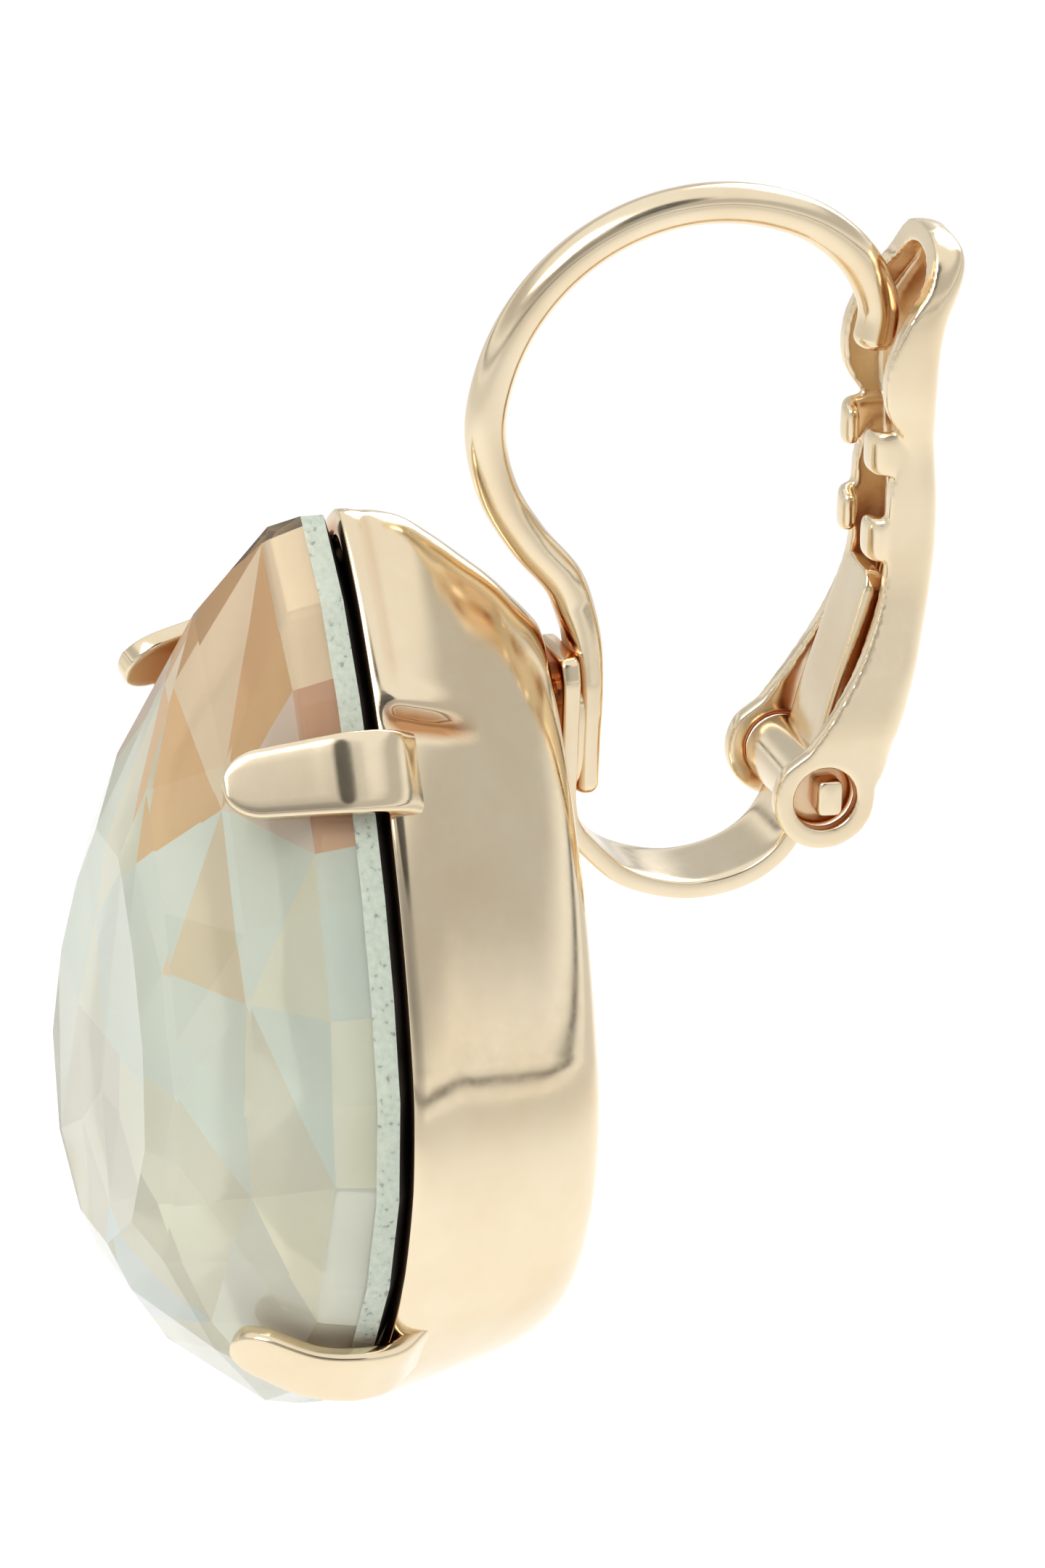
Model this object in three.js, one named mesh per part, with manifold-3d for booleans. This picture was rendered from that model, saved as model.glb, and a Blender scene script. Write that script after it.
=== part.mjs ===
// Lever-back drop earring: a pear-cut stone in a four-prong cup that hangs from a hinged ear wire.
// Millimetres, +Z up. The stone faces -Y and the earring mirrors across the plane X = 0.
// The origin is the ear hole: the underside of the top of the ear wire, where the earring hangs.
import * as THREE from "three";
import { ConvexGeometry } from "three/addons/geometries/ConvexGeometry.js";
import { mergeVertices } from "three/addons/utils/BufferGeometryUtils.js";
import Module from "manifold-3d";

// Cup, a pear whose round end is a circle about the setting's own origin in the plane of the rim
const CUP_RADIUS = 6.5;
const CUP_TIP = 11.5;
const TIP_ROUNDING = 0.35;
const CUP_DEPTH = 4.1;
const CUP_WALL = 0.35;
const CUP_TAPER = 1.6;
const CUP_TIP_DROP = 2.6;

// Stone
const STONE_INSET = 0.04;
const STONE_LIFT = 0.3;
const GIRDLE = 0.45;
const CROWN_HEIGHT = 3.6;
const PAVILION_DEPTH = 2.6;

// Prongs
const PRONG_THICKNESS = 0.4;
const PRONG_WIDTH = 1.6;
const PRONG_TIP_WIDTH = 1.25;
const PRONG_REACH = 3.15;
const UPPER_PRONG_ANGLE = 33.1;
const LOWER_PRONG_ANGLE = -40;

// Ear wire: how far the hook stands out in front of its pad and how far its neck is over the cup
const WIRE_DIAMETER = 0.8;
const HOOK_RADIUS = 4.32;
const HOOK_OVERHANG = 2.1;
const NECK_RISE = 0.889;
const PAD_LENGTH = 3.25;
const PAD_WIDTH = 1.5;
const PAD_THICKNESS = 0.6;
const STRIP_WIDTH = 2.0;
const STRIP_THICKNESS = 0.4;
const STRIP_GAP = 0.18;
const SOLDER_DEPTH = 0.02;

// Hinge and lever
const HOOK_CLEARANCE = 0.2356;
const HINGE_HOLE_RADIUS = 0.62;
const PIN_WIDTH = 0.5;
const PIN_CLEARANCE = 0.125;
const EAR_RADIUS = 1.0;
const EAR_WIDTH = 3.4;
const LEVER_WALL = 0.35;
const LEVER_LENGTH = 10.85;
const LEVER_WAIST = 0.75;
const WEB_FOOT = 0.8;
const NIB_HEIGHT = 0.95;
const SPRING_CLEARANCE = 0.33;
const SPRING_SIDE_CLEARANCE = 0.125;

const GOLD = 0xe2c9a4;
const CRYSTAL = 0xdfe3d6;

const wasm = await Module();
wasm.setup();

const degrees = THREE.MathUtils.degToRad;

function solid(geometry) {
  const bare = geometry.clone();
  bare.deleteAttribute("normal");
  bare.deleteAttribute("uv");
  const merged = mergeVertices(bare, 1e-4);
  return new wasm.Manifold(
    new wasm.Mesh({
      numProp: 3,
      vertProperties: merged.attributes.position.array,
      triVerts: new Uint32Array(merged.index.array),
    }),
  );
}

function geometryOf(manifold) {
  const mesh = manifold.getMesh();
  const geometry = new THREE.BufferGeometry();
  const positions = new THREE.BufferAttribute(mesh.vertProperties, 3);
  geometry.setAttribute("position", positions);
  geometry.setIndex(new THREE.BufferAttribute(mesh.triVerts, 1));
  geometry.computeVertexNormals();
  return geometry;
}

const join = (solids) => solids.reduce((sum, next) => sum.add(next));

// A closed skin over rings of equally many points, with a fan from its centre over each end ring.
function loft(rings) {
  const count = rings[0].length;
  const centre = (ring) =>
    ring
      .reduce((sum, p) => sum.add(p), new THREE.Vector3())
      .divideScalar(count);
  const points = [...rings.flat(), centre(rings[0]), centre(rings.at(-1))];
  const first = rings.length * count;
  const last = first + 1;
  const faces = [];
  for (let r = 0; r + 1 < rings.length; r++) {
    for (let i = 0; i < count; i++) {
      const j = (i + 1) % count;
      const [a, b] = [r * count + i, r * count + j];
      const [c, d] = [a + count, b + count];
      faces.push(a, b, d, a, d, c);
    }
  }
  const top = (rings.length - 1) * count;
  for (let i = 0; i < count; i++) {
    const j = (i + 1) % count;
    faces.push(first, j, i);
    faces.push(last, top + i, top + j);
  }
  const geometry = new THREE.BufferGeometry().setFromPoints(points);
  geometry.setIndex(faces);
  const made = solid(geometry);
  if (made.volume() >= 0) {
    return made;
  }
  geometry.setIndex(faces.reverse());
  return solid(geometry);
}

// Pear outline in X and Z: a circle below, and on each side one arc from it to the tip.
const SHOULDER = degrees(18.5);
const ROUND_STEPS = 22;
const FLANK_STEPS = 11;

function flank(radius, tip) {
  const sin = Math.sin(SHOULDER);
  const arc =
    (tip ** 2 + radius ** 2 - 2 * tip * radius * sin) /
    (2 * radius - 2 * tip * sin);
  const x = (radius - arc) * Math.cos(SHOULDER);
  const z = (radius - arc) * sin;
  return { arc, x, z, end: Math.atan2(tip - z, -x) };
}

function pear(radius, tip) {
  const side = flank(radius, tip);
  const right = [];
  for (let i = 0; i < ROUND_STEPS / 2; i++) {
    const share = i / (ROUND_STEPS / 2);
    const angle = THREE.MathUtils.lerp(-Math.PI / 2, SHOULDER, share);
    right.push([radius * Math.cos(angle), radius * Math.sin(angle)]);
  }
  for (let i = 0; i < FLANK_STEPS; i++) {
    const share = 1 - (1 - i / FLANK_STEPS) ** 1.4;
    const angle = THREE.MathUtils.lerp(SHOULDER, side.end, share);
    const x = side.x + side.arc * Math.cos(angle);
    const z = side.z + side.arc * Math.sin(angle);
    right.push([x, z - Math.hypot(x, TIP_ROUNDING) + x]);
  }
  const left = right.slice(1).map(([x, z]) => [-x, z]);
  return [...right, [0, tip - TIP_ROUNDING], ...left.reverse()];
}

const pearRing = (y, radius, tip) =>
  pear(radius, tip).map(([x, z]) => new THREE.Vector3(x, y, z));

// Cup sections from rim to back, as shares of the cup's depth, of its taper and of its tip's drop
const CUP_SECTIONS = [
  { depth: 0, inset: 0, drop: 0 },
  { depth: 0.15, inset: 0.06, drop: 0.02 },
  { depth: 0.3, inset: 0.16, drop: 0.07 },
  { depth: 0.45, inset: 0.27, drop: 0.23 },
  { depth: 0.6, inset: 0.38, drop: 0.4 },
  { depth: 0.75, inset: 0.5, drop: 0.6 },
  { depth: 0.86, inset: 0.62, drop: 0.77 },
  { depth: 0.94, inset: 0.76, drop: 0.9 },
  { depth: 0.985, inset: 0.9, drop: 0.98 },
  { depth: 1, inset: 1.05, drop: 1.08 },
];

// The cup's outer form set in by `wall` all round; `from` and `to` are the depths where it ends.
function cupForm(wall, from, to) {
  const rings = CUP_SECTIONS.map(({ depth, inset, drop }) => {
    const y = THREE.MathUtils.lerp(from, to, depth);
    const radius = CUP_RADIUS - wall - CUP_TAPER * inset;
    return pearRing(y, radius, CUP_TIP - 1.5 * wall - CUP_TIP_DROP * drop);
  });
  return loft(rings);
}

const cupShell = () =>
  cupForm(0, 0, CUP_DEPTH).subtract(
    cupForm(CUP_WALL, -1e-2, CUP_DEPTH - CUP_WALL),
  );

// A bar along a smooth route: `across` is the fixed width direction, and `size` gives, for a
// share of the route, its width, its thickness and how square its section is (2 is round).
function bar(points, across, size, steps, sides) {
  const curve = new THREE.CatmullRomCurve3(points, false, "centripetal");
  const rings = [];
  for (let i = 0; i <= steps; i++) {
    const at = curve.getPointAt(i / steps);
    const normal = across.clone().cross(curve.getTangentAt(i / steps));
    const { width, thickness, square } = size(i / steps);
    const corner = (v) => Math.sign(v) * Math.abs(v) ** (2 / square);
    const ring = [];
    for (let k = 0; k < sides; k++) {
      const angle = (2 * Math.PI * (k + 0.5)) / sides;
      ring.push(
        at
          .clone()
          .addScaledVector(across, (width / 2) * corner(Math.cos(angle)))
          .addScaledVector(normal, (thickness / 2) * corner(Math.sin(angle))),
      );
    }
    rings.push(ring);
  }
  return loft(rings);
}

// A size that changes along a route, from rows of [share of the route, value].
function along(rows) {
  return (share) => {
    const next = rows.findIndex(([s]) => s >= share);
    if (next <= 0) {
      return rows[next < 0 ? rows.length - 1 : 0][1];
    }
    const [[s0, v0], [s1, v1]] = [rows[next - 1], rows[next]];
    return THREE.MathUtils.lerp(v0, v1, (share - s0) / (s1 - s0));
  };
}

// A prong rises from the rim. `out` is the distance out from the cup's side and `ahead` the
// distance in front of the rim, as shares of the prong's reach.
const UPPER_PRONG_ROUTE = [
  { out: -0.05, ahead: -0.35 },
  { out: 0.045, ahead: -0.1 },
  { out: 0.08, ahead: 0.08 },
  { out: 0.085, ahead: 0.25 },
  { out: 0.04, ahead: 0.5 },
  { out: -0.05, ahead: 0.78 },
  { out: -0.11, ahead: 1 },
];
const LOWER_PRONG_ROUTE = [
  { out: -0.05, ahead: -0.3 },
  { out: 0.045, ahead: -0.1 },
  { out: 0.08, ahead: 0.08 },
  { out: 0.085, ahead: 0.25 },
  { out: 0.045, ahead: 0.47 },
  { out: -0.09, ahead: 0.72 },
  { out: -0.21, ahead: 0.92 },
];

function prong(foot, route, mirror) {
  const normal = new THREE.Vector3(mirror * foot.nx, 0, foot.nz);
  const across = new THREE.Vector3(-foot.nz, 0, mirror * foot.nx);
  const points = route.map(({ out, ahead }) =>
    new THREE.Vector3(mirror * foot.x, -ahead * PRONG_REACH, foot.z)
      .addScaledVector(normal, out * PRONG_REACH),
  );
  const width = along([
    [0, PRONG_WIDTH],
    [0.5, PRONG_WIDTH],
    [0.9, PRONG_TIP_WIDTH],
    [0.97, 0.8 * PRONG_TIP_WIDTH],
    [1, 0.45 * PRONG_TIP_WIDTH],
  ]);
  const size = (share) => ({
    width: width(share),
    thickness: PRONG_THICKNESS,
    square: 5,
  });
  return bar(points, across, size, 18, 8);
}

function prongs() {
  const side = flank(CUP_RADIUS, CUP_TIP);
  const upper = degrees(UPPER_PRONG_ANGLE);
  const lower = degrees(LOWER_PRONG_ANGLE);
  const upperFoot = {
    x: side.x + side.arc * Math.cos(upper),
    z: side.z + side.arc * Math.sin(upper),
    nx: Math.cos(upper),
    nz: Math.sin(upper),
  };
  const lowerFoot = {
    x: CUP_RADIUS * Math.cos(lower),
    z: CUP_RADIUS * Math.sin(lower),
    nx: Math.cos(lower),
    nz: Math.sin(lower),
  };
  return [1, -1].flatMap((mirror) => [
    prong(upperFoot, UPPER_PRONG_ROUTE, mirror),
    prong(lowerFoot, LOWER_PRONG_ROUTE, mirror),
  ]);
}

const ACROSS = new THREE.Vector3(1, 0, 0);
const inPlane = (rows) => rows.map(([y, z]) => new THREE.Vector3(0, y, z));

// The tip of the cup's back, and how far back the strip and the pad over it lie
const BACK_TIP = CUP_TIP - CUP_TIP_DROP - TIP_ROUNDING;
const STRIP_Y = CUP_DEPTH + STRIP_GAP + STRIP_THICKNESS / 2;
const PAD_Y = STRIP_Y + (STRIP_THICKNESS + PAD_THICKNESS) / 2 - SOLDER_DEPTH;

// The wire's lower end, from the tip of the cup's back, in shares of the pad's length
const PAD_ROUTE = [
  { out: 0, up: -1 },
  { out: 0, up: -0.66 },
  { out: 0.006, up: -0.354 },
  { out: -0.009, up: -0.108 },
  { out: -0.062, up: 0.092 },
];
// The hook, from its neck over its top to its free end: `inset` is a share of its radius.
const HOOK_ROUTE = [
  { angle: 229, inset: 0.058 },
  { angle: 213, inset: 0.06 },
  { angle: 197, inset: 0.028 },
  ...[180, 165, 150, 135, 120, 105, 90, 75, 60].map((angle) => ({ angle, inset: 0 })),
  { angle: 45, inset: 0.023 },
  { angle: 31, inset: 0.081 },
  { angle: 20, inset: 0.185 },
];

function fromHook({ angle, inset }) {
  const radius = HOOK_RADIUS * (1 - inset);
  return [radius * Math.cos(degrees(angle)), radius * Math.sin(degrees(angle))];
}

// The hook's free end lies in the lever's spoon, clear of its back, and that sets the hinge's place.
const SPOON_SEAT = 0.7801;
const SPOON_BACK = 0.193;
const HOOK_END = fromHook(HOOK_ROUTE.at(-1));
const SPOON_DEPTH = SPOON_BACK * LEVER_LENGTH - LEVER_WALL - WIRE_DIAMETER / 2;
const HOOK_Y = PAD_Y - HOOK_OVERHANG + HOOK_RADIUS;
const HOOK_Z = BACK_TIP + NECK_RISE - fromHook(HOOK_ROUTE[0])[1];
const HINGE_Y = HOOK_Y + HOOK_END[0] - SPOON_DEPTH + HOOK_CLEARANCE;
const HINGE_Z = HOOK_Z + HOOK_END[1] - SPOON_SEAT * LEVER_LENGTH;

// The ear wire: a flattened pad behind the cup, an S-bend, the round hook and its free end.
function earWire() {
  const rows = PAD_ROUTE.map(({ out, up }) => [
    PAD_Y + out * PAD_LENGTH,
    BACK_TIP + up * PAD_LENGTH,
  ]);
  HOOK_ROUTE.map(fromHook).forEach(([y, z]) => rows.push([HOOK_Y + y, HOOK_Z + z]));
  const width = along([
    [0, 0.7 * PAD_WIDTH],
    [0.015, PAD_WIDTH],
    [0.1, PAD_WIDTH],
    [0.16, WIRE_DIAMETER],
    [1, WIRE_DIAMETER],
  ]);
  const thickness = along([
    [0, PAD_THICKNESS],
    [0.1, PAD_THICKNESS],
    [0.16, WIRE_DIAMETER],
    [1, WIRE_DIAMETER],
  ]);
  const square = along([
    [0, 4],
    [0.1, 4],
    [0.16, 2],
    [1, 2],
  ]);
  const size = (share) => ({
    width: width(share),
    thickness: thickness(share),
    square: square(share),
  });
  return bar(inPlane(rows), ACROSS, size, 72, 12);
}

// Where the two pairs of nibs start, as shares of the lever's length
const NIB_FEET = [0.412, 0.572];

// The strip on the back of the cup, from its tip, in shares of the pad's length
const STRIP_ROUTE = [
  { out: 0, up: -0.138 },
  { out: 0, up: -0.723 },
  { out: 0, up: -1.015 },
  { out: 0.037, up: -1.169 },
];
// The strip's bow under the hinge, from the hinge, in shares of the way from cup to hinge
const BOW_ROUTE = [
  { out: -0.871, up: -0.229 },
  { out: -0.745, up: -0.327 },
  { out: -0.49, up: -0.392 },
  { out: -0.265, up: -0.353 },
  { out: -0.129, up: -0.261 },
  { out: -0.045, up: -0.122 },
  { out: 0.004, up: 0 },
];
// The strip's free end inside the lever, from the hinge, in shares of the spring's reach
const SPRING_ROUTE = [
  { out: 0.045, up: 0.15 },
  { out: 0.095, up: 0.36 },
  { out: 0.175, up: 0.63 },
  { out: 0.28, up: 1 },
];

// The flat strip: up the back of the cup, under the hinge and up inside the lever as a spring.
function strip() {
  const span = HINGE_Y - STRIP_Y;
  const reach = NIB_FEET[0] * LEVER_LENGTH - SPRING_CLEARANCE;
  const from = (y, z, length) => ({ out, up }) => [y + out * length, z + up * length];
  const rows = [
    ...STRIP_ROUTE.map(from(STRIP_Y, BACK_TIP, PAD_LENGTH)),
    ...BOW_ROUTE.map(from(HINGE_Y, HINGE_Z, span)),
    ...SPRING_ROUTE.map(from(HINGE_Y, HINGE_Z, reach)),
  ];
  const waist = LEVER_WAIST * EAR_WIDTH - 2 * (LEVER_WALL + SPRING_SIDE_CLEARANCE);
  const width = along([
    [0, 0.8 * STRIP_WIDTH],
    [0.03, STRIP_WIDTH],
    [0.7, STRIP_WIDTH],
    [0.85, Math.min(STRIP_WIDTH, 1.1 * waist)],
    [0.98, Math.min(STRIP_WIDTH, waist)],
    [1, 0.7 * waist],
  ]);
  const size = (share) => ({
    width: width(share),
    thickness: STRIP_THICKNESS,
    square: 6,
  });
  return bar(inPlane(rows), ACROSS, size, 46, 8);
}

// A box by its lowest and highest corners
function box(low, high) {
  const size = high.map((value, i) => value - low[i]);
  const middle = high.map((value, i) => (value + low[i]) / 2);
  return solid(new THREE.BoxGeometry(...size).translate(...middle));
}

function setting() {
  const corner = (HINGE_HOLE_RADIUS - PIN_CLEARANCE) * Math.SQRT1_2;
  const pin = box(
    [-EAR_WIDTH / 2, HINGE_Y + corner - PIN_WIDTH, HINGE_Z - corner],
    [EAR_WIDTH / 2, HINGE_Y + corner, HINGE_Z + corner],
  );
  const solder = box(
    [-0.35 * STRIP_WIDTH, CUP_DEPTH - CUP_WALL / 2, BACK_TIP - PAD_LENGTH],
    [0.35 * STRIP_WIDTH, PAD_Y, BACK_TIP - 0.3 * PAD_LENGTH],
  );
  return join([cupShell(), ...prongs(), earWire(), strip(), pin, solder]);
}

// Crown and pavilion tiers: `scale` of the girdle's outline, `height` as a share of the crown's
// height or the pavilion's depth, `count` facets round, `turn` as a share of a facet.
const CROWN_TIERS = [
  { scale: 1, height: 0, count: 24, turn: 0 },
  { scale: 0.985, height: 0.18, count: 24, turn: 0 },
  { scale: 0.84, height: 0.57, count: 12, turn: 0 },
  { scale: 0.63, height: 0.88, count: 12, turn: 0.5 },
  { scale: 0.49, height: 1, count: 12, turn: 0.5 },
];
const PAVILION_TIERS = [
  { scale: 1, height: 0, count: 24, turn: 0 },
  { scale: 0.62, height: 0.62, count: 12, turn: 0.5 },
  { scale: 0.2, height: 1, count: 6, turn: 0 },
];

// Points spaced evenly along a pear outline, starting at its tip
function pearPoints(radius, tip, count, turn) {
  const outline = pear(radius, tip).map(([x, z]) => new THREE.Vector3(x, 0, z));
  const path = new THREE.CurvePath();
  const start = outline.findIndex((p) => p.x === 0 && p.z > 0);
  const ordered = [...outline.slice(start), ...outline.slice(0, start)];
  ordered.forEach((p, i) =>
    path.add(new THREE.LineCurve3(p, ordered[(i + 1) % ordered.length])),
  );
  return Array.from({ length: count }, (_, i) =>
    path.getPointAt(((i + turn) / count) % 1),
  );
}

function stone() {
  const radius = CUP_RADIUS - STONE_INSET;
  const tip = CUP_TIP - 1.5 * STONE_INSET;
  const tier = (y) => ({ scale, height, count, turn }) =>
    pearPoints(radius * scale, tip * scale, count, turn).map((p) =>
      p.setY(y(height)),
    );
  const crown = tier((h) => -STONE_LIFT - GIRDLE - CROWN_HEIGHT * h);
  const pavilion = tier((h) => -STONE_LIFT + PAVILION_DEPTH * h);
  return new ConvexGeometry([
    ...CROWN_TIERS.flatMap(crown),
    ...PAVILION_TIERS.flatMap(pavilion),
  ]);
}

// Lever sections up from the hinge: `up` and `back` are shares of the lever's length, `half` of
// half the width over the ears. `back` is the outside of the back.
const LEVER_SECTIONS = [
  { up: -0.106, half: 1, back: 0.114 },
  { up: 0.072, half: 1, back: 0.125 },
  { up: 0.116, half: 1, back: 0.142 },
  { up: 0.202, half: 0.94, back: 0.167 },
  { up: 0.28, half: 0.85, back: 0.184 },
  { up: 0.366, half: 0.77, back: 0.199 },
  { up: 0.443, half: LEVER_WAIST, back: 0.206 },
  { up: 0.53, half: LEVER_WAIST, back: 0.205 },
  { up: 0.626, half: LEVER_WAIST, back: 0.197 },
  { up: 0.675, half: 0.82, back: 0.194 },
  { up: 0.732, half: 0.89, back: 0.192 },
  { up: 0.8, half: 0.91, back: 0.194 },
  { up: 0.858, half: 0.9, back: 0.204 },
  { up: 0.906, half: 0.84, back: 0.226 },
  { up: 0.94, half: 0.74, back: 0.241 },
  { up: 0.97, half: 0.58, back: 0.248 },
  { up: 1, half: 0.3, back: 0.245 },
];
const LEVER_FRONT = -0.11;

// The outside of the lever as a block, set in by `wall` at the back, the sides and the top.
function leverBlock(wall) {
  const edge = Math.max(0.35 - wall, 0.05);
  const rings = LEVER_SECTIONS.map(({ up, half, back }) => {
    const x = Math.max((half * EAR_WIDTH) / 2 - wall, 0.3 * half);
    const y = back * LEVER_LENGTH - wall;
    const z = up * (LEVER_LENGTH - wall);
    const front = LEVER_FRONT * LEVER_LENGTH;
    const outline = [
      [-x, front],
      [x, front],
      [x, y - edge],
      [x - 0.3 * edge, y - 0.3 * edge],
      [x - edge, y],
      [-x + edge, y],
      [-x + 0.3 * edge, y - 0.3 * edge],
      [-x, y - edge],
    ];
    return outline.map(([px, py]) => new THREE.Vector3(px, py, z));
  });
  return loft(rings);
}

// Front edge of the lever's sides, up from the ears, in shares of the lever's length
const FRONT_EDGE = [
  { out: -0.033, up: 0.086 },
  { out: -0.007, up: 0.121 },
  { out: 0.03, up: 0.179 },
  { out: 0.056, up: 0.226 },
  { out: 0.08, up: 0.281 },
  { out: 0.1, up: 0.344 },
  { out: 0.107, up: 0.389 },
  { out: 0.113, up: 0.561 },
  { out: 0.142, up: 0.63 },
  { out: 0.121, up: 0.66 },
  { out: 0.092, up: 0.706 },
  { out: 0.087, up: 0.76 },
  { out: 0.095, up: 0.806 },
  { out: 0.134, up: 0.881 },
  { out: 0.165, up: 0.923 },
  { out: 0.19, up: 1.01 },
];

// Side view of the lever: the ear's circle, then the front edge up to the top and the back down.
function leverSide() {
  const shape = new THREE.Shape();
  const behind = 0.3 * LEVER_LENGTH;
  shape.moveTo(1.5 * EAR_RADIUS, WEB_FOOT);
  shape.lineTo(1.2 * EAR_RADIUS, 0.45 * EAR_RADIUS);
  shape.absarc(0, 0, EAR_RADIUS, degrees(8), degrees(-220), true);
  FRONT_EDGE.forEach(({ out, up }) =>
    shape.lineTo(out * LEVER_LENGTH, up * LEVER_LENGTH),
  );
  shape.lineTo(behind, FRONT_EDGE.at(-1).up * LEVER_LENGTH);
  shape.lineTo(behind, WEB_FOOT);
  const hole = new THREE.Path();
  hole.absarc(0, 0, HINGE_HOLE_RADIUS, 0, 2 * Math.PI, false);
  shape.holes.push(hole);
  const depth = 1.3 * EAR_WIDTH;
  const side = new THREE.ExtrudeGeometry(shape, {
    depth,
    bevelEnabled: false,
    curveSegments: 14,
  });
  side.translate(0, 0, -depth / 2);
  // the shape's x becomes Y, its y becomes Z and its depth becomes X
  side.applyMatrix4(new THREE.Matrix4().set(
    0, 0, 1, 0,
    1, 0, 0, 0,
    0, 1, 0, 0,
    0, 0, 0, 1,
  ));
  return solid(side);
}

// A nib folds in from the edge of a side, in front of the channel. `foot` is where it starts.
function nib(foot, mirror) {
  const half = (LEVER_WAIST * EAR_WIDTH) / 2;
  const low = foot * LEVER_LENGTH;
  const plate = (x0, x1, y0, y1) =>
    box(
      [Math.min(mirror * x0, mirror * x1), y0, low],
      [Math.max(mirror * x0, mirror * x1), y1, low + NIB_HEIGHT],
    );
  const front = 0.075 * LEVER_LENGTH;
  const side = plate(half - LEVER_WALL, half, front + LEVER_WALL / 2, 0.17 * LEVER_LENGTH);
  return side.add(plate(0.35 * half, half, front, front + 0.8 * LEVER_WALL));
}

function lever() {
  const inner = EAR_WIDTH / 2 - LEVER_WALL;
  const reach = 3 * EAR_RADIUS;
  const betweenEars = box([-inner, -reach, -reach], [inner, reach, WEB_FOOT]);
  const underWeb = box([-EAR_WIDTH, -reach, -reach], [EAR_WIDTH, reach, 0.99 * WEB_FOOT]);
  const channel = leverBlock(LEVER_WALL).subtract(underWeb);
  const body = leverBlock(0)
    .intersect(leverSide())
    .subtract(channel)
    .subtract(betweenEars);
  const nibs = NIB_FEET.flatMap((foot) => [nib(foot, 1), nib(foot, -1)]);
  return join([body, ...nibs]);
}

function mesh(name, geometry, material) {
  const made = new THREE.Mesh(geometry, material);
  made.name = name;
  return made;
}

const gold = (roughness) =>
  new THREE.MeshStandardMaterial({ color: GOLD, roughness, metalness: 1 });

const earring = new THREE.Group();
earring.position.set(0, -HOOK_Y, -(HOOK_Z + HOOK_RADIUS - WIRE_DIAMETER / 2));
earring.add(mesh("setting_and_ear_wire", geometryOf(setting()), gold(0.12)));
const crystal = new THREE.MeshStandardMaterial({
  color: CRYSTAL,
  roughness: 0.03,
  metalness: 0,
});
earring.add(mesh("stone", stone(), crystal));
const hinge = new THREE.Group();
hinge.position.set(0, HINGE_Y, HINGE_Z);
hinge.add(mesh("lever", geometryOf(lever()), gold(0.14)));
earring.add(hinge);

export default earring;
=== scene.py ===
# The looks of a lever-back drop earring with a pear-cut crystal.
# Sizes are in millimetres in the setting's own frame, whose origin is the middle of the round end
# of the rim. The stone faces -Y. `place` turns them into metres in the row frame.
import math
import random

import bmesh
import bpy
import numpy as np
from mathutils import Matrix, Vector


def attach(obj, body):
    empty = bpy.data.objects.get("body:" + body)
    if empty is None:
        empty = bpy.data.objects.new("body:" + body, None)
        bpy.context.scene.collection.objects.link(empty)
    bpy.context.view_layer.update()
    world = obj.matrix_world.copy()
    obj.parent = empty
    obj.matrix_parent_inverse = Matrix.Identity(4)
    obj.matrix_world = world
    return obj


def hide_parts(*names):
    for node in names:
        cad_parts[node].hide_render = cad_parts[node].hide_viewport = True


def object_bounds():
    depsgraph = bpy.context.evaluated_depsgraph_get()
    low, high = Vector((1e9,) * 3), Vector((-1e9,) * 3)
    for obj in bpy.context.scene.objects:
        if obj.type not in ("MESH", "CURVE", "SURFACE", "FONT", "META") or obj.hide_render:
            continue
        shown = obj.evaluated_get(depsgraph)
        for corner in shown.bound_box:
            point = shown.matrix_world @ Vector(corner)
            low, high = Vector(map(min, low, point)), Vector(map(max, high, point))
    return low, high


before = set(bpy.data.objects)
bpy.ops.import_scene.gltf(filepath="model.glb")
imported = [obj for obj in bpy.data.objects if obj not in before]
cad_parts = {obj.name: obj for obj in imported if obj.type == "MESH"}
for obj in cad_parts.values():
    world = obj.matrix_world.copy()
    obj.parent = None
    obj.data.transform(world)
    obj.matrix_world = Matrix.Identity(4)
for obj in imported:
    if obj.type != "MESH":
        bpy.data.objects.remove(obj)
cad_box = [list(corner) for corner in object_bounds()]

MM = 0.001
HOOK_RADIUS = 4.32
HOOK_Y = 7.18
HOOK_Z = 12.51
WIRE = 0.8
ROW_ORIGIN = np.array([0, HOOK_Y, HOOK_Z + HOOK_RADIUS - WIRE / 2])

CUP_RADIUS = 6.5
CUP_TIP = 11.5
TIP_ROUNDING = 0.35
CUP_DEPTH = 4.1
CUP_WALL = 0.35
CUP_TAPER = 1.6
CUP_TIP_DROP = 2.6

STONE_INSET = 0.04
STONE_LIFT = 0.3
GIRDLE = 0.45
CROWN_HEIGHT = 3.6
PAVILION_DEPTH = 2.6

PRONG_THICKNESS = 0.4
PRONG_WIDTH = 1.6
PRONG_TIP_WIDTH = 1.25
PRONG_REACH = 3.15
PRONG_STRETCH = 1.35
UPPER_PRONG_ANGLE = math.radians(33.1)
LOWER_PRONG_ANGLE = math.radians(-40)

PAD_WIDTH = 1.5
PAD_THICKNESS = 0.6
STRIP_WIDTH = 2.0
STRIP_THICKNESS = 0.4
STRIP_GAP = 0.18
STRIP_Y = CUP_DEPTH + STRIP_GAP + STRIP_THICKNESS / 2
PAD_Y = STRIP_Y + 0.48 * (STRIP_THICKNESS + PAD_THICKNESS)
BACK_TIP = CUP_TIP - CUP_TIP_DROP - TIP_ROUNDING

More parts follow.
